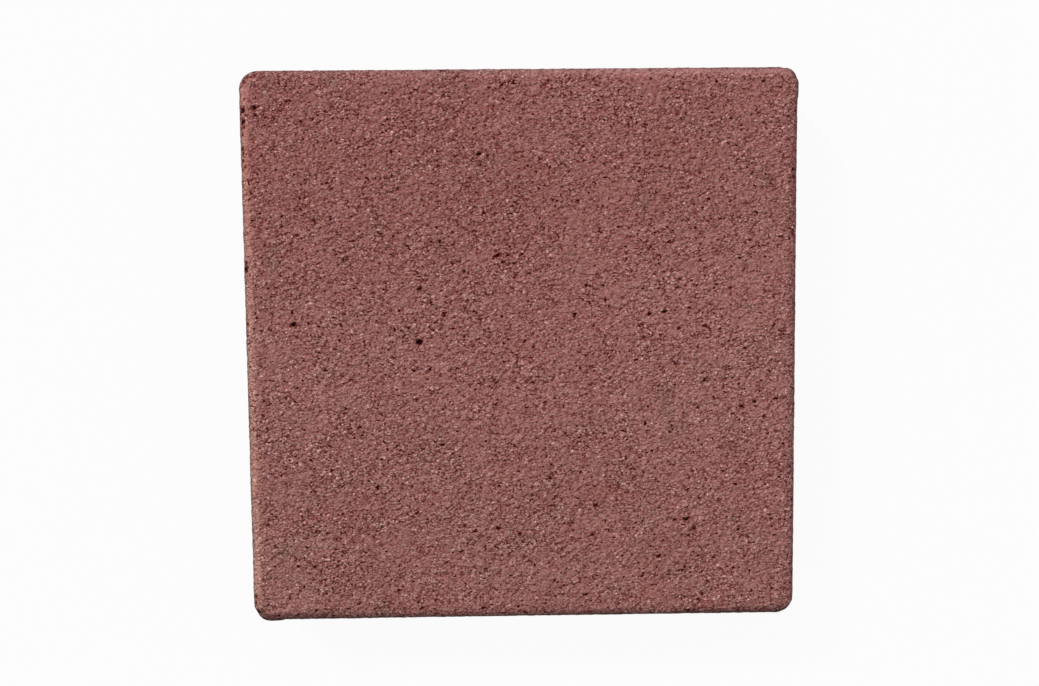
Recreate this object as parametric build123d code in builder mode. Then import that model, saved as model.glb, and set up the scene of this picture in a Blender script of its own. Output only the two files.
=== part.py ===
from build123d import *
import os
from math import radians, tan

# A square concrete paving stone, pressed in a mould as one piece and laid flat, in millimetres.
# The origin is the middle of the bed face, and +Z points up out of the walking face.

# Driving dimensions
slab_length = 298.5         # along X at the foot of the walls: a 300 module less half its joint each side
slab_width = 298.5          # along Y at the foot of the walls
slab_thickness = 38.0       # from the bed face to the walking face
wall_draft = 1.0            # degrees that each wall leans in, so that the mould strips off upwards
arris_radius = 7.0          # rounding from the walking face into the walls, left by the press head
face_corner_radius = 3.0    # plan radius at the corners of the flat walking face

# The walls lean in by this much over the full thickness.
wall_lean = slab_thickness * tan(radians(wall_draft))

# The arris meets the walking face this far in from where wall and face would cross.
arris_setback = arris_radius / tan(radians((90 + wall_draft) / 2))

# The plan corners grow from the walking face down to the bed, as the arris and the draft spread out.
bed_corner_radius = face_corner_radius + arris_setback + wall_lean

with BuildPart() as paving_stone:
    with BuildSketch(Plane.XY) as bed_outline:
        RectangleRounded(slab_length, slab_width, bed_corner_radius)
    extrude(amount=slab_thickness, taper=wall_draft)
    walking_face = paving_stone.faces().sort_by(Axis.Z)[-1]
    fillet(walking_face.edges(), radius=arris_radius)

paving_stone.part.label = "paving_stone"

os.makedirs("parts", exist_ok=True)
export_step(paving_stone.part, "parts/paving_stone.step")
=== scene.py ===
import math
import bpy
import numpy as np
from mathutils import Euler, Matrix, Vector


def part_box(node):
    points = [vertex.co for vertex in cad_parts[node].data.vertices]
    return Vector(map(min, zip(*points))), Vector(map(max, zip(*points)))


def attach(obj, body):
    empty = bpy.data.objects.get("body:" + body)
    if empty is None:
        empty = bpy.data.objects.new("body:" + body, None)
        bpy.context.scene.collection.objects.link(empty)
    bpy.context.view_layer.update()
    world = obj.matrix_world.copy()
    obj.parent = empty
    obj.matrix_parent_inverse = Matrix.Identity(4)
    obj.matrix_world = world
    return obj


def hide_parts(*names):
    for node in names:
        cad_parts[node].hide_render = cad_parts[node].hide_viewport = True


# A red concrete paving stone that lies on a pale floor and is seen from almost straight above.
# Shapes are worked out in millimetres, x to the right of the picture and y towards its top.

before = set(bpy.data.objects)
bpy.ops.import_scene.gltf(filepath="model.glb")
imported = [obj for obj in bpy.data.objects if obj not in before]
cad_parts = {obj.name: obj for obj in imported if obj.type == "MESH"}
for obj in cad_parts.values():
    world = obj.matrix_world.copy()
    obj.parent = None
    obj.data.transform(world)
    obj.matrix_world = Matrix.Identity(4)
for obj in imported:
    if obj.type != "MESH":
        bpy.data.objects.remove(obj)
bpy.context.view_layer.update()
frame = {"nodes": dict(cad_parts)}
mm = 0.001
tiny = 1e-9     # keeps a length that something is divided by off zero
print("frame loaded:", ", ".join(frame["nodes"]))


# Random fields, the same on every run

def hashedUnit(ix, iy, iz, seed):
    # A number from 0 to 1 for each whole-number lattice point, its coordinates scrambled by odd multipliers
    word = 0xFFFFFFFF
    h = (ix * 374761393 + iy * 668265263 + iz * 1103515245 + seed * 974634777) & word
    h = ((h ^ (h >> 13)) * 1274126177) & word
    h = ((h ^ (h >> 16)) * 668265263) & word
    return ((h ^ (h >> 15)) & word) / word


def softNoise(points, across, seed):
    # Value noise: lattice cells that many mm across, the random numbers of a cell's eight corners blended
    # by the smooth step 3t^2 - 2t^3 along each axis, and stretched to -1 to 1
    scaled = points / across
    cell = np.floor(scaled).astype(np.int64)
    t = scaled - cell
    t = t * t * (3 - 2 * t)
    blend = np.zeros(len(points))
    for dx in (0, 1):
        for dy in (0, 1):
            for dz in (0, 1):
                share = np.abs(1 - dx - t[:, 0]) * np.abs(1 - dy - t[:, 1]) * np.abs(1 - dz - t[:, 2])
                blend += share * hashedUnit(cell[:, 0] + dx, cell[:, 1] + dy, cell[:, 2] + dz, seed)
    return blend * 2 - 1


def smoothStep(value, low, high):
    # 3t^2 - 2t^3 between two limits, 0 below and 1 above them
    t = np.clip((value - low) / (high - low), 0, 1)
    return t * t * (3 - 2 * t)


# The stone's plain surface

stone = {
    "node": "paving_stone",
    "slot": "red_concrete",
    "cells": 268,               # cells across the top, arris to arris; a multiple of 4
    "arrisRows": 8,             # rows of cells round the arris
    "wallRows": 13,             # rows of cells down a wall, below the row that halves the columns
    "draft": 1.0,               # degrees that the walls lean in
    "arris": 7.0,               # mm, radius between walking face and wall
    "faceCorner": 3.0,          # mm, plan radius left at the corners of the flat face
    "weldSteps": 1e4,           # steps in a mm, within one of which points count as the same
    "sharp": 55.0,              # degrees between two faces past which their edge is shaded sharp
}


def stoneSizes():
    # The side and the thickness come from the CAD box. The walls lean in over the thickness, the arris
    # rolls on from them into the face, and what is left inside the face's corner radius is the core
    low, high = (np.array(corner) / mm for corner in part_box(stone["node"]))
    half = (high[0] - low[0]) / 2
    thick = high[2] - low[2]
    draft = math.radians(stone["draft"])
    setback = stone["arris"] / math.tan((math.pi / 2 + draft) / 2)
    core = half - thick * math.tan(draft) - setback - stone["faceCorner"]
    foot = stone["faceCorner"] + stone["arris"] * math.cos(draft)
    return {
        "half": half,
        "thick": thick,
        "draft": draft,
        "core": core,           # half side of the square that joins the four corner centres
        "foot": foot,           # plan radius at the foot of the arris
        "bed": half - core,     # plan radius at the bed
        "footHeight": thick - stone["arris"] * (1 - math.sin(draft)),   # height of that foot
    }


size = stoneSizes()


def rowPlaces():
    # Grid lines across the top: even over the flat face, and at even angles round both arrises
    rows = stone["arrisRows"]
    angles = np.linspace(math.pi / 2, size["draft"], rows + 1)[1:]
    rim = size["core"] + stone["faceCorner"] + stone["arris"] * np.cos(angles)
    flatHalf = size["core"] + stone["faceCorner"]
    flat = np.linspace(-flatHalf, flatHalf, stone["cells"] - 2 * rows + 1)
    return np.concatenate([-rim[::-1], flat, rim])


def planPoint(u, v, spread):
    # Corner blocks of a square grid bent onto quarter discs: the larger distance past the core is the
    # radius, the ratio of the two gives the angle, and spread widens the blocks towards the bed
    a = np.maximum(np.abs(u) - size["core"], 0)
    b = np.maximum(np.abs(v) - size["core"], 0)
    radius = np.maximum(a, b)
    ratio = np.minimum(a, b) / np.maximum(radius, tiny)
    angle = np.where(b <= a, ratio, 2 - ratio) * (math.pi / 4)
    x = np.sign(u) * (np.minimum(np.abs(u), size["core"]) + radius * spread * np.cos(angle))
    y = np.sign(v) * (np.minimum(np.abs(v), size["core"]) + radius * spread * np.sin(angle))
    return x, y, radius


def gridFaces(rows, columns):
    # Corner numbers of the cells of a grid whose points are stored row by row
    first = (np.arange(rows)[:, None] * (columns + 1) + np.arange(columns)).ravel()
    return np.stack([first, first + 1, first + columns + 2, first + columns + 1], 1)


def topPatch(places):
    # The face is flat, and past it the height falls as the arris's quarter circle
    v, u = (grid.ravel() for grid in np.meshgrid(places, places, indexing="ij"))
    x, y, radius = planPoint(u, v, 1.0)
    reach = np.clip(radius - stone["faceCorner"], 0, stone["arris"])
    z = size["thick"] - stone["arris"] + np.sqrt(stone["arris"] ** 2 - reach ** 2)
    count = len(places) - 1
    return np.stack([x, y, z], 1), gridFaces(count, count), np.stack([u, v], 1)


def bedPatch(places):
    # The same grid with every second line, flat on the floor and facing down
    v, u = (grid.ravel() for grid in np.meshgrid(places, places, indexing="ij"))
    x, y, _ = planPoint(u, v, size["bed"] / size["foot"])
    count = len(places) - 1
    return np.stack([x, y, np.zeros(len(x))], 1), gridFaces(count, count)[:, ::-1], np.stack([u, v], 1)


def wallPatch(places, quarter):
    # One wall from corner diagonal to corner diagonal: straight lines from the foot of the arris to the
    # bed, leaning out by the draft, turned by quarter turns to its side
    rows = stone["wallRows"]
    drop = np.linspace(0, 1, rows + 2)
    turnCos = round(math.cos(quarter * math.pi / 2))
    turnSin = round(math.sin(quarter * math.pi / 2))

    def line(along, t):
        spread = 1 + (size["bed"] / size["foot"] - 1) * t
        x, y, _ = planPoint(np.full(along.shape, places[-1]), along, spread)
        z = size["footHeight"] * (1 - t) + 0 * along
        return np.stack([x * turnCos - y * turnSin, x * turnSin + y * turnCos, z], -1).reshape(-1, 3)

    fine = line(places, 0.0)
    coarse = places[::2]
    along, t = np.meshgrid(coarse, drop[1:])
    points = np.concatenate([fine, line(along.ravel(), t.ravel())])
    flat = np.concatenate([
        np.stack([places, np.zeros(len(places))], 1),
        np.stack([along.ravel(), t.ravel() * size["footHeight"]], 1),
    ])
    quads = gridFaces(rows, len(coarse) - 1)[:, ::-1] + len(places)

    # Under the arris two columns become one, with three triangles for each pair
    k = np.arange(len(coarse) - 1)
    f = 2 * k
    c = k + len(places)
    stitches = np.concatenate([
        np.stack([f, c, f + 1], 1),
        np.stack([f + 1, c, c + 1], 1),
        np.stack([f + 1, c + 1, f + 2], 1),
    ])
    return points, quads, stitches, flat


def welded(points):
    # Points of different patches that share a place become one
    keys = np.round(points * stone["weldSteps"]).astype(np.int64)
    _, firsts, numbers = np.unique(keys, axis=0, return_index=True, return_inverse=True)
    return points[firsts], numbers.ravel()


def pointNormals(points, quads, triangles):
    # Each face adds its area-weighted normal, the cross product of its diagonals or sides, to its corners
    normals = np.zeros_like(points)
    p = points[quads]
    cross = np.cross(p[:, 2] - p[:, 0], p[:, 3] - p[:, 1])
    for corner in range(4):
        np.add.at(normals, quads[:, corner], cross)
    p = points[triangles]
    cross = np.cross(p[:, 1] - p[:, 0], p[:, 2] - p[:, 0])
    for corner in range(3):
        np.add.at(normals, triangles[:, corner], cross)
    return normals / np.linalg.norm(normals, axis=1)[:, None]


# Bake map, 1 by 1: the walking face takes most of it, the bed stands beside it and the walls above it
bakeMap = {
    "name": "OFBake",
    "top": (0.004, 0.004, 0.80),        # left, bottom and side of the top's square
    "bed": (0.812, 0.004, 0.184),       # and of the bed's
    "wallLeft": 0.004,                  # the four walls are strips, one above the other
    "wallBottom": 0.815,
    "wallStep": 0.046,
    "wallLength": 0.90,
    "wallHeight": 0.040,
}


def squareMap(flat, span, place):
    # A patch that is centred on 0 and as wide as the span fills its square of the map
    left, bottom, side = place
    return np.array([left, bottom]) + (flat / span + 0.5) * side


def stripMap(flat, span, quarter):
    # A wall runs along its strip, from the foot of the arris up the map to the bed
    along = flat[:, 0] / span * bakeMap["wallLength"] + bakeMap["wallLength"] / 2
    down = flat[:, 1] * bakeMap["wallHeight"] / size["footHeight"]
    corner = np.array([bakeMap["wallLeft"], bakeMap["wallBottom"] + quarter * bakeMap["wallStep"]])
    return corner + np.stack([along, down], 1)


def plainStone():
    # The top, the four walls and the bed in one list, with their faces and their places on the bake map
    places = rowPlaces()
    span = 2 * places[-1]
    topPoints, topQuads, topFlat = topPatch(places)
    pointLists = [topPoints]
    quadLists = [topQuads]
    stitchLists = []
    mapLists = [squareMap(topFlat, span, bakeMap["top"])]
    start = len(topPoints)
    for quarter in range(4):
        points, quads, stitches, flat = wallPatch(places, quarter)
        pointLists.append(points)
        quadLists.append(quads + start)
        stitchLists.append(stitches + start)
        mapLists.append(stripMap(flat, span, quarter))
        start += len(points)
    bedPoints, bedQuads, bedFlat = bedPatch(places[::2])
    pointLists.append(bedPoints)
    quadLists.append(bedQuads + start)
    mapLists.append(squareMap(bedFlat, span, bakeMap["bed"]))
    return (np.concatenate(lists) for lists in (pointLists, quadLists, stitchLists, mapLists))


# Cast relief, and slow changes of the stone's look
relief = {
    "seed": 7,
    # wavelength in mm, and height in mm on the face, the arris, the walls and the bed
    "layers": ((42.0, 0.10, 0.06, 0.12, 0.12), (17.0, 0.10, 0.04, 0.10, 0.10),
               (8.0, 0.23, 0.07, 0.22, 0.20), (4.4, 0.31, 0.11, 0.30, 0.30),
               (2.6, 0.33, 0.14, 0.20, 0.10)),
    # turn of the first layer's lattice about x, y and z in radians, and what each further layer adds
    "turns": ((0.5, 1.0), (0.3, 0.9), (0.6, 1.7)),
    "sink": (0.40, 0.0, 0.15, 0.30),    # mm that the mean surface lies under the CAD surface, in each zone
    "arrisFrom": (14.0, 42.0),          # degrees of tilt over which the face turns into the smooth arris,
    "wallFrom": (79.0, 88.0),           # the arris into the rough wall
    "bedFrom": (100.0, 130.0),          # and the wall into the bed
    # seeds of three slow fields: how coarse the grain is, how pale and how red the stone is
    "slow": {"coarse": 824, "pale": 112, "red": 900},
    "slowSizes": (90.0, 40.0),          # mm, lattice cells of their two octaves
    "slowShare": 0.5,                   # height of the second octave to the first
}


def zones(normals):
    # Shares of face, arris, wall and bed at each point, by how far the surface tilts
    tilt = np.degrees(np.arccos(np.clip(normals[:, 2], -1, 1)))
    past = smoothStep(tilt, *relief["arrisFrom"])
    side = smoothStep(tilt, *relief["wallFrom"])
    down = smoothStep(tilt, *relief["bedFrom"])
    return np.stack([1 - past, past - side, side - down, down])


def raised(points, shares):
    # Layers of noise with two lattice cells to a wavelength, each on a lattice turned its own way and
    # weighed by the zones that a point is in
    height = -np.tensordot(np.array(relief["sink"]), shares, 1)
    for number, (length, *heights) in enumerate(relief["layers"]):
        turn = Euler([first + step * number for first, step in relief["turns"]]).to_matrix()
        noise = softNoise(points @ np.array(turn), length / 2, relief["seed"] + number)
        height += np.tensordot(np.array(heights), shares, 1) * noise
    return height


def slowField(points, seed):
    # Two octaves of noise, the finer one weaker
    wide, narrow = relief["slowSizes"]
    return softNoise(points, wide, seed) + relief["slowShare"] * softNoise(points, narrow, seed + 1)


# Open pits of the face and the rim
pits = {
    "steep": 0.9,               # a pit is the bell exp(-steep r^flat), with r = 1 on the rim of its ellipse
    "flat": 3.0,
    "dark": (0.35, 0.65),       # painted shade of the shallowest pit, and what each mm of depth adds, up to 1
    # x, y, length and width in mm, the direction of the length in degrees, and the depth in mm
    "places": (
        (-55.0, 4.0, 3.2, 2.9, 0, 2.2),
        (-122.0, 14.0, 2.6, 2.0, 10, 1.4),
        (77.0, 19.0, 2.8, 1.6, 20, 1.4),
        (-139.5, 128.5, 2.3, 2.0, 0, 1.2),
        (-22.0, 103.5, 3.4, 1.3, 20, 1.3),
        (89.0, -94.0, 3.4, 1.3, 20, 1.2),
        (93.0, -99.5, 2.6, 1.3, 170, 1.2),
        (66.5, -41.5, 2.8, 1.3, 115, 1.0),
        (-12.5, 50.0, 2.6, 1.3, 15, 1.2),
        (-14.5, 49.0, 1.8, 1.0, 30, 0.9),
        (125.5, -30.0, 2.2, 1.5, 0, 1.2),
        (118.5, -33.0, 2.3, 1.5, 170, 1.1),
        (-54.5, 32.5, 1.9, 1.8, 0, 1.3),
        (73.5, -114.5, 2.6, 1.4, 35, 1.2),
        (-57.5, -27.5, 2.4, 1.2, 165, 1.0),
        (-88.0, -41.5, 1.8, 1.6, 0, 1.0),
        (-43.5, -51.5, 2.3, 1.3, 0, 1.0),
        (-14.0, -98.0, 2.4, 1.5, 110, 1.1),
        (37.5, -102.0, 2.1, 1.4, 15, 1.1),
        (-30.5, 41.5, 1.7, 1.3, 30, 0.9),
        (-48.0, -23.0, 1.6, 1.1, 15, 0.8),
        (84.5, 10.0, 2.0, 1.1, 0, 0.9),
        (112.0, 31.5, 1.5, 1.1, 20, 0.8),
        (120.0, -1.0, 2.0, 1.2, 0, 0.7),
        (130.5, -38.0, 1.8, 1.1, 170, 0.8),
        (59.0, -66.0, 2.2, 1.1, 30, 0.8),
        (-79.0, -74.5, 2.2, 1.3, 90, 0.8),
        (-37.5, -56.5, 2.0, 1.0, 155, 0.7),
        (82.5, -94.5, 1.6, 1.4, 0, 0.9),
        (4.0, -116.5, 1.7, 1.3, 0, 0.9),
        (-2.0, -101.0, 1.6, 1.1, 0, 0.7),
        (-26.5, 91.5, 1.6, 1.0, 170, 0.8),
        (-115.5, 121.5, 1.6, 1.0, 150, 0.8),
        (-134.4, 124.2, 2.1, 1.0, 160, 1.0),
        (-109.5, 122.2, 1.9, 1.1, 10, 1.1),
        (-101.2, 142.4, 1.7, 1.0, 150, 0.9),
        (129.2, 140.6, 1.9, 1.0, 20, 1.0),
        (133.7, 137.9, 1.5, 0.9, 170, 0.7),
        (138.6, 137.2, 1.2, 0.6, 170, 0.5),
        (136.0, 132.2, 1.3, 0.9, 0, 0.6),
        (126.4, 126.5, 1.7, 1.1, 30, 1.1),
        (-134.4, -107.2, 1.6, 1.1, 0, 1.0),
        (-113.4, -118.2, 2.3, 1.0, 165, 1.1),
        (-68.6, -131.8, 2.3, 1.1, 25, 1.1),
        (-55.9, -141.6, 1.6, 1.3, 0, 1.0),
        (-3.4, -142.0, 1.9, 1.1, 10, 1.0),
        (-143.0, -141.6, 1.7, 1.0, 150, 0.9),
        (-145.4, -143.0, 2.8, 1.9, 135, 0.9),
        (-146.9, -134.2, 1.5, 2.0, 0, 0.5),
        (-146.9, -138.0, 1.4, 2.8, 0, 0.5),
        (-146.2, 127.4, 2.1, 2.5, 0, 0.8),
        (-146.3, 121.6, 2.2, 2.9, 0, 0.8),
        (-145.9, 118.6, 1.4, 1.8, 0, 0.6),
        (-145.1, 142.2, 1.8, 2.4, 0, 0.6),
        (-143.8, 144.4, 2.2, 1.5, 45, 0.6),
        (-146.5, 115.0, 1.4, 1.8, 0, 0.4),
        (-146.5, 104.5, 1.4, 2.0, 0, 0.4),
        (-146.5, 101.0, 1.2, 1.6, 0, 0.4),
        (-146.0, 97.5, 1.3, 1.8, 0, 0.4),
        (-146.9, 107.6, 1.3, 2.2, 0, 0.5),
        (-146.8, 47.4, 1.6, 2.0, 0, 0.6),
        (-146.8, 43.8, 1.8, 3.2, 0, 0.7),
        (-147.1, 14.6, 1.1, 2.0, 0, 0.5),
    ),
}


def pitted(points):
    # How deep each point lies in a pit, in mm, and how much painted shade it has there, 0 to 1: a bell over
    # an ellipse turned to its direction, on the upper half of the stone alone, with less painted shade in a
    # shallow pit
    upper = points[:, 2] > size["thick"] / 2
    least, more = pits["dark"]
    depth = np.zeros(len(points))
    shadeInPit = np.zeros(len(points))
    for x, y, length, width, direction, deep in pits["places"]:
        turn = math.radians(direction)
        dx = points[:, 0] - x
        dy = points[:, 1] - y
        along = (dx * math.cos(turn) + dy * math.sin(turn)) / (length / 2)
        across = (dy * math.cos(turn) - dx * math.sin(turn)) / (width / 2)
        bell = np.exp(-pits["steep"] * (along ** 2 + across ** 2) ** (pits["flat"] / 2)) * upper
        depth = np.maximum(depth, bell * deep)
        # painted shade in the pit, darker the deeper it is
        shadeInPit = np.maximum(shadeInPit, bell * min(least + more * deep, 1))
    return depth, shadeInPit


# Dirty blotches of the face
blotches = {
    "across": 11.0,             # mm, about the width of one
    "from": (0.40, 0.88),       # height of the noise over which one comes in
    "speck": 4.0,               # mm, size of the finer noise that breaks them up
    "broken": 0.6,              # and how much it does
}


def stained(points):
    # How dirty each point is, 0 to 1: the crests of a noise, broken up by a finer one, on the top alone
    crest = smoothStep(softNoise(points, blotches["across"], relief["seed"] + 51), *blotches["from"])
    finer = 1 + blotches["broken"] * softNoise(points, blotches["speck"], relief["seed"] + 50)
    return np.clip(crest * finer, 0, 1) * (points[:, 2] > size["thick"] / 2)


# Burrs of the rim
burrs = {
    "above": 1.0,               # mm above the foot of the arris at which they stand out most
    "fade": 5.0,                # mm up or down from there over which they fall to about a third
    "places": (                 # x, y, length along the rim and height in mm
        (148.2, 138.0, 12.0, 0.80),
        (146.0, 146.0, 8.0, 1.00),
        (-139.5, -148.4, 13.0, 0.95),
    ),
}


def burred(points):
    # Outward push along the rim: the flat-topped bell exp(-r^4) along it, and exp(-h^2) up and down
    lift = (points[:, 2] - size["footHeight"] - burrs["above"]) / burrs["fade"]
    push = np.zeros(len(points))
    for x, y, length, proud in burrs["places"]:
        reach = np.hypot(points[:, 0] - x, points[:, 1] - y) / (length / 2)
        push = np.maximum(push, proud * np.exp(-reach ** 4) * np.exp(-lift ** 2))
    return push


# Marks of weather and use on the arris, painted highlights on the left and back arrises, which face the
# lamp, and darkening of the rim: degrees of tilt over which each mark comes, or comes and goes
arrisLook = {
    "bare": (33.0, 52.0),
    "bareLess": (0.8, 0.35),            # how much less of it there is on the right and at the back
    "rimDark": (5.0, 38.0),
    "rimDarkEnds": (0.60, 0.75),           # amount in the middle of the front arris, and what its ends add
    "dullFrom": (3.0, 14.0),            # the back arris is dull towards the left corner
    "dull": 0.16,
    "lineFrom": (45.0, 60.0),           # and has a dark line under it towards the right corner
    "lineReach": (0.57, 0.70),          # where that line comes in, as a share of half the side
    "line": 0.6,
    "wearAndHighlight": (6.0, 25.0, 43.0, 63.0),    # wear on the left arris, which also carries its painted highlight
    "backHighlight": (13.0, 33.0, 47.0, 67.0),
    "patchSizes": (9.0, 2.5),           # mm, the two noises that make the marks uneven
    "patchy": (0.45, 0.40),             # and how uneven each makes them
    "palePatchy": 0.7,                  # how much of that the wear and the painted highlights follow
}


def band(tilt, low, full, fade, gone):
    # Comes in over the first two limits and goes again over the last two
    return smoothStep(tilt, low, full) * (1 - smoothStep(tilt, fade, gone))


def arrisMarks(points, normals):
    # Shares from 0 to 1, each a smooth step of the tilt times the square of how far the surface faces one
    # side: bare cement all round, darkening at the front, wear on the left arris, and painted highlights
    # that pale the left and the back arris
    tilt = np.degrees(np.arccos(np.clip(normals[:, 2], -1, 1)))
    level = np.maximum(np.linalg.norm(normals[:, :2], axis=1), tiny)
    left, front = (np.clip(-normals[:, axis] / level, 0, 1) ** 2 for axis in (0, 1))
    right, back = (np.clip(normals[:, axis] / level, 0, 1) ** 2 for axis in (0, 1))
    across = points[:, 0] / size["half"]
    uneven = np.zeros(len(points))
    for number, (length, amount) in enumerate(zip(arrisLook["patchSizes"], arrisLook["patchy"])):
        uneven += amount * softNoise(points, length, relief["seed"] + 40 + number)

    lessRight, lessBack = arrisLook["bareLess"]
    bare = smoothStep(tilt, *arrisLook["bare"]) * (1 - lessRight * right - lessBack * back)

    # darker along the front arris, most towards its ends and unevenly
    middle, more = arrisLook["rimDarkEnds"]
    rimDark = smoothStep(tilt, *arrisLook["rimDark"]) * front * (middle + more * across ** 2) * (1 + uneven)
    dull = smoothStep(tilt, *arrisLook["dullFrom"]) * back * np.clip(-across, 0, 1)
    line = smoothStep(tilt, *arrisLook["lineFrom"]) * back * smoothStep(across, *arrisLook["lineReach"])
    rimDark = rimDark + dull * arrisLook["dull"] + line * arrisLook["line"]

    paleUneven = 1 - arrisLook["palePatchy"] * uneven
    # painted highlight on the left arris, the side towards the lamp, where the grain is also worn smoother
    wearAndHighlight = band(tilt, *arrisLook["wearAndHighlight"]) * left * paleUneven
    fromLeft = np.clip(0.5 + 0.5 * across, 0, 1)    # nothing at the left corner, all at the right one
    # painted highlight on the back arris, which also faces the lamp, growing towards the right corner
    backHighlight = band(tilt, *arrisLook["backHighlight"]) * back * paleUneven * fromLeft
    shares = {"bare": bare, "rimDark": rimDark, "wearAndHighlight": wearAndHighlight, "backHighlight": backHighlight}
    return {name: np.clip(share, 0, 1) for name, share in shares.items()}


def makeStone():
    # Each point of the plain surface moves along its normal by the relief less the pits, and a burr
    # pushes it on outwards, but never past the CAD box
    patchPoints, patchQuads, patchStitches, mapPoints = plainStone()
    points, numbers = welded(patchPoints)
    quads = numbers[patchQuads]
    stitches = numbers[patchStitches]
    triangles = 2 * len(quads) + len(stitches)
    print("plain stone:", len(points), "points,", triangles, "triangles")

    # Every mark is found on the plain surface, before the relief moves its points
    normals = pointNormals(points, quads, stitches)
    shares = zones(normals)
    depth, shadeInPit = pitted(points)
    height = raised(points, shares) - depth
    push = burred(points)
    marks = {"arris": shares[1], "pitShade": shadeInPit}
    marks.update(arrisMarks(points, normals))
    marks["stain"] = stained(points)
    for name, seed in relief["slow"].items():
        marks[name] = slowField(points, seed)

    points = points + normals * height[:, None]
    points[:, :2] += normals[:, :2] * push[:, None]
    points[:, 2] = np.clip(points[:, 2], 0, size["thick"])
    points[:, :2] = np.clip(points[:, :2], -size["half"], size["half"])
    print("relief:", len(pits["places"]), "pits,", len(burrs["places"]), "burrs")

    mesh = bpy.data.meshes.new("pavingStone")
    mesh.from_pydata((points * mm).tolist(), [], quads.tolist() + stitches.tolist())
    uv = mesh.uv_layers.new(name=bakeMap["name"])
    loops = np.concatenate([patchQuads.ravel(), patchStitches.ravel()])
    uv.data.foreach_set("uv", mapPoints[loops].astype(np.float32).ravel())
    for name, values in marks.items():
        attribute = mesh.attributes.new(name, "FLOAT", "POINT")
        attribute.data.foreach_set("value", values.astype(np.float32))
    mesh.shade_smooth()
    mesh.set_sharp_from_angle(angle=math.radians(stone["sharp"]))
    mesh.validate()
    piece = bpy.data.objects.new("pavingStone", mesh)
    bpy.context.scene.collection.objects.link(piece)
    return piece


# Concrete. Sizes and heights are in mm, and a tone is a place on the scale of colours
concrete = {
    "name": "redConcrete",
    "seed": 11.0,                           # each pattern lies this far off, and its own number further
    "roughness": 0.90,
    "gloss": 0.06,
    "drawn": (1.17, 0.86, 1.0),             # how far the grains are drawn out along each axis
    # from the painted shade at the bottom of an open pore to a bare grain of sand: tone, colour
    "tones": ((0.0, (0.046, 0.003, 0.002, 1.0)), (0.22, (0.151, 0.027, 0.021, 1.0)),
              (0.36, (0.228, 0.074, 0.064, 1.0)), (0.50, (0.300, 0.126, 0.114, 1.0)),
              (0.78, (0.431, 0.216, 0.200, 1.0)), (1.0, (0.65, 0.39, 0.37, 1.0))),
    "middle": 0.497,                        # tone of the mean surface
    # coated grains of sand, finer ones, the ridges of paste between them and open pores. A noise is
    # given by its octaves and by the strength of each to the one before. The tone of each follows its
    # height, so that hollows get partly dust and partly painted shade, and an open pore gets painted shade
    "grain": {"across": 1.3, "height": 0.60, "tone": 0.37},
    "fine": {"across": 0.8, "height": 0.21, "tone": 0.47},
    "ridge": {"across": 2.5, "noise": (1.0, 0.5), "height": 1.90, "tone": 0.235},
    "pore": {"across": 2.3, "noise": (1.0, 0.55), "from": (0.34, 0.25), "height": -0.3, "tone": -0.82},
    "domeMean": 0.28,                       # mean of the squared distance from a cell's middle
    "ownTone": 0.17,                        # how far apart single grains are in tone
    "fleckTone": 0.40,                      # how much paler a bare grain is
    # which random numbers make a grain of each size a bare one, and how pale it is to the full amount
    "flecks": ((0.985, 0.99, 0.7), (0.945, 0.955, 0.75)),
    # how much rougher the surface is where the slow field is coarse, in clumps and on the arris, and how
    # much smoother where it is worn
    "coarseSpread": 0.12,
    "clump": {"across": 13.0, "noise": (3.0, 0.6), "spread": 1.9},
    "arrisRough": 0.25,
    "wornSmooth": 0.32,
    "arrisTone": 0.02,
    "paleTone": 0.040,                      # tone that the slow field of paleness adds at its full height
    "pitShadeTone": 0.9,                         # and that the painted shade of a pit takes away
    # tints between olive and rose, in patches, by the slow field of redness and towards the back
    "patch": {"across": 20.0, "noise": (4.0, 0.5), "spread": 1.6},
    "redSpread": 0.22,
    "redDrift": 2.2,                        # per metre towards the back edge
    "olive": (0.966, 1.035, 1.010, 1.0),
    "rose": (1.024, 0.975, 0.990, 1.0),
    # what each mark leaves of the colour, channel by channel
    "stain": (0.85, 0.90, 0.89, 1.0),
    # how much paler the worn left arris is: a painted highlight
    "wearAndHighlight": (1.28, 1.43, 1.33, 1.0),
    "cement": (0.71, 0.85, 0.84, 1.0),
    # what the darkening of the rim leaves of the colour
    "rimDark": (0.52, 0.51, 0.52, 1.0),
    "backHighlight": (0.440, 0.205, 0.195, 1.0),     # a pale coat painted on the back arris as its painted highlight
    "backHighlightShare": 0.64,                          # and how much it covers
    "pitShadow": (0.010, 0.002, 0.002, 1.0),       # the painted shadow inside a pit
    "pitShadowFrom": (0.22, 0.80),                 # share of a pit over which it comes in
}


def feed(tree, socket, value):
    # A socket takes a link from another node, or a plain value
    if isinstance(value, bpy.types.NodeSocket):
        tree.links.new(value, socket)
    else:
        socket.default_value = value


def calc(tree, operation, *values):
    # One step of arithmetic on sockets or plain values
    node = tree.nodes.new("ShaderNodeMath")
    node.operation = operation
    for socket, value in zip(node.inputs, values):
        feed(tree, socket, value)
    return node.outputs[0]


def summed(tree, *parts):
    # The sum of several values, each a socket or a pair of a socket and its weight
    running = 0.0
    for part in parts:
        value, weight = part if isinstance(part, tuple) else (part, 1.0)
        running = calc(tree, "MULTIPLY_ADD", value, weight, running)
    return running


def stepped(tree, value, low, high):
    # 0 at the first limit and 1 at the second, by the smooth step, and level beyond them
    node = tree.nodes.new("ShaderNodeMapRange")
    node.interpolation_type = "SMOOTHSTEP"
    feed(tree, node.inputs["Value"], value)
    feed(tree, node.inputs["From Min"], low)
    feed(tree, node.inputs["From Max"], high)
    return node.outputs[0]


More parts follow.
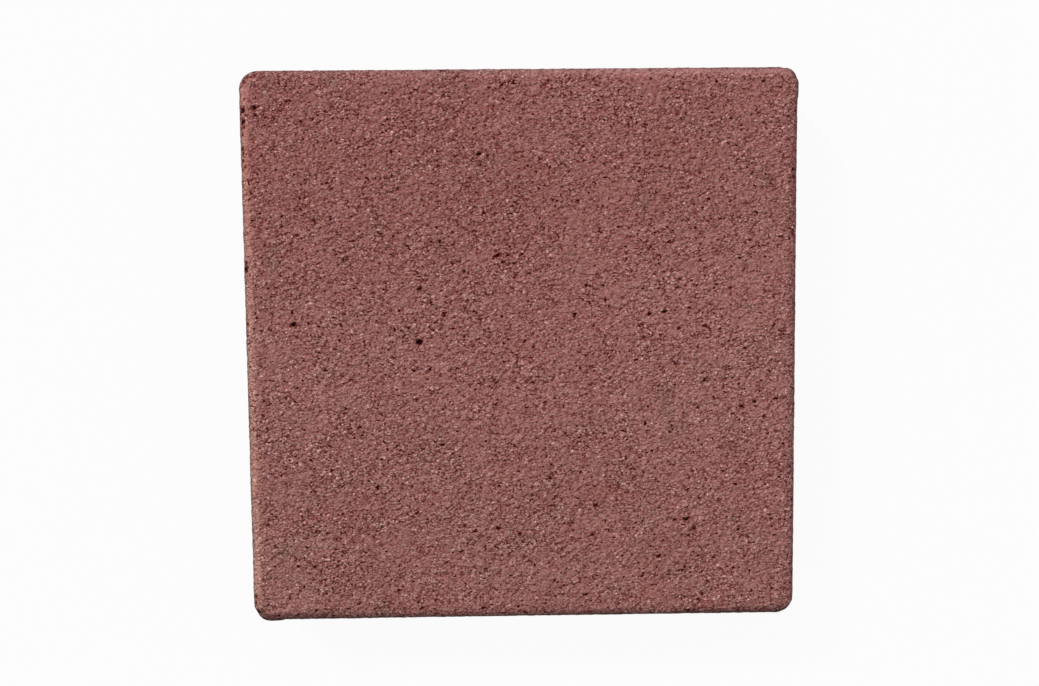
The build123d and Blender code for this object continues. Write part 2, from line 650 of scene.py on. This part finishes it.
def blendColor(tree, share, first, second, how="MIX"):
    # Inputs 6 and 7 of a Mix node are its two colours
    node = tree.nodes.new("ShaderNodeMix")
    node.data_type = "RGBA"
    node.blend_type = how
    feed(tree, node.inputs[0], share)
    feed(tree, node.inputs[6], first)
    feed(tree, node.inputs[7], second)
    return node.outputs[2]


def shifted(tree, coordinates, offset):
    # Each pattern has its own place and its own turn, so that no lattice lines up with the stone
    node = tree.nodes.new("ShaderNodeMapping")
    feed(tree, node.inputs["Vector"], coordinates)
    node.inputs["Location"].default_value = (offset, offset * 1.7, offset * 2.3)
    node.inputs["Rotation"].default_value = (0.4 + offset, 0.7 + offset * 1.3, 1.1 + offset * 0.7)
    return node.outputs[0]


def cloud(tree, coordinates, across, offset, octaves, strength):
    # Smooth noise whose blotches are about that many mm across, 0 to 1 about a middle of 0.5
    node = tree.nodes.new("ShaderNodeTexNoise")
    feed(tree, node.inputs["Vector"], shifted(tree, coordinates, offset))
    node.inputs["Scale"].default_value = 1 / across
    node.inputs["Detail"].default_value = octaves
    node.inputs["Roughness"].default_value = strength
    return node.outputs[0]


def swing(tree, coordinates, part, offset):
    # The same noise about 0
    return calc(tree, "SUBTRACT", cloud(tree, coordinates, part["across"], offset, *part["noise"]), 0.5)


def cells(tree, coordinates, part, offset):
    # One rounded cell for each grain: its dome, the mean squared distance less the squared distance from
    # the cell's middle, and the red and green of a random colour, which tell the grains apart
    node = tree.nodes.new("ShaderNodeTexVoronoi")
    feed(tree, node.inputs["Vector"], shifted(tree, coordinates, offset))
    node.inputs["Scale"].default_value = 1 / part["across"]
    dome = calc(tree, "SUBTRACT", concrete["domeMean"], calc(tree, "POWER", node.outputs["Distance"], 2.0))
    split = tree.nodes.new("ShaderNodeSeparateColor")
    feed(tree, split.inputs[0], node.outputs["Color"])
    return dome, split.outputs[0], split.outputs[1]


def fromMesh(tree, name):
    # The mark of that name, as it is kept on the mesh's points
    node = tree.nodes.new("ShaderNodeAttribute")
    node.attribute_name = name
    return node.outputs["Fac"]


def grainLayers(tree, coordinates):
    # Domes and ridges are about 0 at their mean and higher where they stand proud, a pore is 1 where it
    # is open, own is each grain's own tone about 0, and fleck is above 0 on a bare grain
    seed = concrete["seed"]
    grain, grainOwn, grainPick = cells(tree, coordinates, concrete["grain"], seed)
    fine, fineOwn, finePick = cells(tree, coordinates, concrete["fine"], seed + 3)
    openness = cloud(tree, coordinates, concrete["pore"]["across"], seed + 9, *concrete["pore"]["noise"])
    flecks = []
    for pick, (low, high, amount) in zip((grainPick, finePick), concrete["flecks"]):
        flecks.append((stepped(tree, pick, low, high), amount))
    return {
        "grain": grain,
        "fine": fine,
        "ridge": swing(tree, coordinates, concrete["ridge"], seed + 5),
        "pore": stepped(tree, openness, *concrete["pore"]["from"]),
        "own": summed(tree, grainOwn, fineOwn, -1.0),
        "fleck": summed(tree, *flecks),
    }


def roughened(tree, coordinates, marks):
    # How strong the grain is, 1 on the mean surface
    clump = swing(tree, coordinates, concrete["clump"], concrete["seed"] + 14)
    return summed(tree, 1.0, (marks["coarse"], concrete["coarseSpread"]),
                  (clump, concrete["clump"]["spread"]), (marks["arris"], concrete["arrisRough"]),
                  (marks["wearAndHighlight"], -concrete["wornSmooth"]))


def grainHeight(tree, layers, rough):
    # The sum of the layers in mm, times how strong the grain is
    names = ("grain", "fine", "ridge", "pore")
    height = summed(tree, *((layers[name], concrete[name]["height"]) for name in names))
    return calc(tree, "MULTIPLY", height, rough)


def grainTone(tree, layers, rough, marks):
    # The tone follows the height, partly dust and partly painted shade in the hollows, each grain has its
    # own besides, and pores and pits get painted shade
    tone = summed(tree, concrete["middle"], (layers["grain"], concrete["grain"]["tone"]),
                  (layers["fine"], concrete["fine"]["tone"]), (layers["ridge"], concrete["ridge"]["tone"]),
                  (layers["own"], concrete["ownTone"]), (layers["pore"], concrete["pore"]["tone"]),
                  (layers["fleck"], concrete["fleckTone"]))
    tone = calc(tree, "MULTIPLY", calc(tree, "SUBTRACT", tone, concrete["middle"]), rough)
    # the painted shade of the pits lowers the tone
    return summed(tree, tone, concrete["middle"], (marks["arris"], concrete["arrisTone"]),
                  (marks["pale"], concrete["paleTone"]), (marks["pitShade"], -concrete["pitShadeTone"]))


def toneColor(tree, tone):
    # The scale of colours, straight between its stops
    ramp = tree.nodes.new("ShaderNodeValToRGB")
    stops = ramp.color_ramp.elements
    for number, (position, color) in enumerate(concrete["tones"]):
        stop = stops[number] if number < 2 else stops.new(position)
        stop.position = position
        stop.color = color
    feed(tree, ramp.inputs[0], tone)
    return ramp.outputs[0]


def patchTint(tree, place, coordinates, marks):
    # Halfway from olive to rose on the mean surface
    axes = tree.nodes.new("ShaderNodeSeparateXYZ")
    feed(tree, axes.inputs[0], place)
    patch = swing(tree, coordinates, concrete["patch"], concrete["seed"] + 20)
    share = summed(tree, 0.5, (patch, concrete["patch"]["spread"]), (marks["red"], concrete["redSpread"]),
                   (axes.outputs[1], concrete["redDrift"]))
    return blendColor(tree, share, concrete["olive"], concrete["rose"])


def markedColor(tree, color, marks):
    # Blotches, the wear and painted highlight of the left arris, the pale coat painted on the back arris as
    # its highlight, bare cement, the darkening of the rim, and at last the painted shadow inside the pits
    coat = calc(tree, "MULTIPLY", marks["backHighlight"], concrete["backHighlightShare"])
    pitShadow = stepped(tree, marks["pitShade"], *concrete["pitShadowFrom"])
    color = blendColor(tree, marks["stain"], color, concrete["stain"], "MULTIPLY")
    # painted highlight of the worn left arris
    color = blendColor(tree, marks["wearAndHighlight"], color, concrete["wearAndHighlight"], "MULTIPLY")
    # painted highlight of the back arris, laid on as a pale coat
    color = blendColor(tree, coat, color, concrete["backHighlight"])
    color = blendColor(tree, marks["bare"], color, concrete["cement"], "MULTIPLY")
    # darkening of the rim
    color = blendColor(tree, marks["rimDark"], color, concrete["rimDark"], "MULTIPLY")
    # painted shadow inside the pits
    return blendColor(tree, pitShadow, color, concrete["pitShadow"])


def makeConcrete():
    material = bpy.data.materials.new(concrete["name"])
    material.use_nodes = True
    tree = material.node_tree
    place = tree.nodes.new("ShaderNodeTexCoord").outputs["Object"]
    scale = tree.nodes.new("ShaderNodeVectorMath")
    scale.operation = "DIVIDE"
    feed(tree, scale.inputs[0], place)
    scale.inputs[1].default_value = [part * mm for part in concrete["drawn"]]
    coordinates = scale.outputs[0]

    names = ("arris", "pitShade", "bare", "rimDark", "wearAndHighlight", "backHighlight", "stain", "coarse", "pale", "red")
    marks = {name: fromMesh(tree, name) for name in names}
    layers = grainLayers(tree, coordinates)
    rough = roughened(tree, coordinates, marks)
    color = toneColor(tree, grainTone(tree, layers, rough, marks))
    color = blendColor(tree, 1.0, color, patchTint(tree, place, coordinates, marks), "MULTIPLY")
    color = markedColor(tree, color, marks)

    bump = tree.nodes.new("ShaderNodeBump")
    bump.inputs["Distance"].default_value = mm
    bump.inputs["Strength"].default_value = 1.0
    feed(tree, bump.inputs["Height"], grainHeight(tree, layers, rough))
    shader = tree.nodes["Principled BSDF"]
    feed(tree, shader.inputs["Base Color"], color)
    feed(tree, shader.inputs["Normal"], bump.outputs[0])
    shader.inputs["Roughness"].default_value = concrete["roughness"]
    shader.inputs["Specular IOR Level"].default_value = concrete["gloss"]
    print("concrete:", len(tree.nodes), "nodes")
    return material


# Floor and lights
studio = {
    "floorSide": 24.0,                  # metres
    "floorDrop": 0.0003,                # metres that the floor lies under the bed
    "floorColor": (0.60, 0.60, 0.60, 1.0),
    "floorWhite": 0.94,                 # share of plain white that the camera sees in the floor
    "white": (1.0, 1.0, 1.0, 1.0),
    "lampAzimuth": 132.0,               # degrees from the right, anticlockwise seen from above
    "lampHeight": 32.0,                 # degrees above the floor
    "lampSpread": 8.0,                  # degrees across, which softens the shadow
    "lampAway": 2.0,                    # metres
    "lampShare": 0.48,                  # share of the light on a level face
    "lampColor": (0.985, 1.003, 1.006),
    "fillShare": 0.52,                  # the rest comes from all round
    "fillColor": (1.03, 0.985, 0.975, 1.0),
}


def seesWhite(tree):
    # 1 for a ray that sees the plain white background: from the camera, off a gloss or through glass
    path = tree.nodes.new("ShaderNodeLightPath")
    seen = path.outputs["Is Camera Ray"]
    for name in ("Is Glossy Ray", "Is Transmission Ray"):
        seen = calc(tree, "MAXIMUM", seen, path.outputs[name])
    return seen


def mixedShader(tree, share, first, second):
    # That share of the second shader, and the rest of the first
    node = tree.nodes.new("ShaderNodeMixShader")
    feed(tree, node.inputs[0], share)
    feed(tree, node.inputs[1], first.outputs[0])
    feed(tree, node.inputs[2], second.outputs[0])
    return node.outputs[0]


def lit(tree, kind, color, strength):
    # A shader that gives light of its own, in that colour
    node = tree.nodes.new(kind)
    node.inputs["Color"].default_value = color
    node.inputs["Strength"].default_value = strength
    return node


def makeFloor():
    # A matt grey that takes the shadow, with plain white laid over it for the rays that see white
    side = studio["floorSide"] / 2
    z = -studio["floorDrop"]
    mesh = bpy.data.meshes.new("floor")
    corners = [(-side, -side, z), (side, -side, z), (side, side, z), (-side, side, z)]
    mesh.from_pydata(corners, [], [(0, 1, 2, 3)])
    floor = bpy.data.objects.new("floor", mesh)
    bpy.context.scene.collection.objects.link(floor)
    material = bpy.data.materials.new("paleFloor")
    material.use_nodes = True
    tree = material.node_tree
    tree.nodes.clear()
    matt = tree.nodes.new("ShaderNodeBsdfDiffuse")
    matt.inputs["Color"].default_value = studio["floorColor"]
    white = lit(tree, "ShaderNodeEmission", studio["white"], 1.0)
    share = calc(tree, "MULTIPLY", seesWhite(tree), studio["floorWhite"])
    output = tree.nodes.new("ShaderNodeOutputMaterial")
    feed(tree, output.inputs["Surface"], mixedShader(tree, share, matt, white))
    mesh.materials.append(material)
    return floor


def makeLamp():
    # Its strength is its share of the light on a level face, which at pi shows a colour as written
    azimuth = math.radians(studio["lampAzimuth"])
    height = math.radians(studio["lampHeight"])
    lamp = bpy.data.lights.new("keyLight", "SUN")
    lamp.energy = studio["lampShare"] * math.pi / math.sin(height)
    lamp.angle = math.radians(studio["lampSpread"])
    lamp.color = studio["lampColor"]
    level = math.cos(height)
    towards = Vector((level * math.cos(azimuth), level * math.sin(azimuth), math.sin(height)))
    sun = bpy.data.objects.new("keyLight", lamp)
    sun.rotation_euler = towards.to_track_quat("Z", "Y").to_euler()
    sun.location = towards * studio["lampAway"]
    bpy.context.scene.collection.objects.link(sun)


def makeFill():
    # Even light from all round, and plain white for the rays that see white
    world = bpy.data.worlds.new("studioWorld")
    world.use_nodes = True
    bpy.context.scene.world = world
    tree = world.node_tree
    tree.nodes.clear()
    fill = lit(tree, "ShaderNodeBackground", studio["fillColor"], studio["fillShare"])
    white = lit(tree, "ShaderNodeBackground", studio["white"], 1.0)
    output = tree.nodes.new("ShaderNodeOutputWorld")
    feed(tree, output.inputs["Surface"], mixedShader(tree, seesWhite(tree), fill, white))


# Camera
view = {
    "stand": (-9.16, 45.09, 599.89),    # mm, where the camera hangs
    "aim": (-1.29, 2.96, 38.0),         # mm, the point of the face in the middle of the picture
    "roll": -0.569,                     # degrees anticlockwise about the line of sight
    "lens": 36.40,                      # mm, and so is the sensor's width
    "sensor": 36.0,
    "clip": (0.01, 20.0),               # metres, the nearest and the farthest that it sees
}


def makeCamera():
    # It looks from its stand to its aim with the stone's back at the top, then rolls
    camera = bpy.data.objects.new("camera", bpy.data.cameras.new("camera"))
    camera.data.lens = view["lens"]
    camera.data.sensor_width = view["sensor"]
    camera.data.clip_start, camera.data.clip_end = view["clip"]
    stand = Vector(view["stand"]) * mm
    back = (stand - Vector(view["aim"]) * mm).normalized()
    right = Vector((0, 1, 0)).cross(back).normalized()
    up = back.cross(right)
    turn = Matrix((right, up, back)).transposed() @ Matrix.Rotation(math.radians(view["roll"]), 3, "Z")
    camera.matrix_world = Matrix.Translation(stand) @ turn.to_4x4()
    bpy.context.scene.collection.objects.link(camera)
    bpy.context.scene.camera = camera


piece = makeStone()
piece.data.materials.append(makeConcrete())
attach(piece, "root")
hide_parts(stone["node"])
makeFloor()
makeLamp()
makeFill()
print("floor and lights made")
makeCamera()
bpy.context.scene.view_settings.view_transform = "Standard"

print("scene ready")
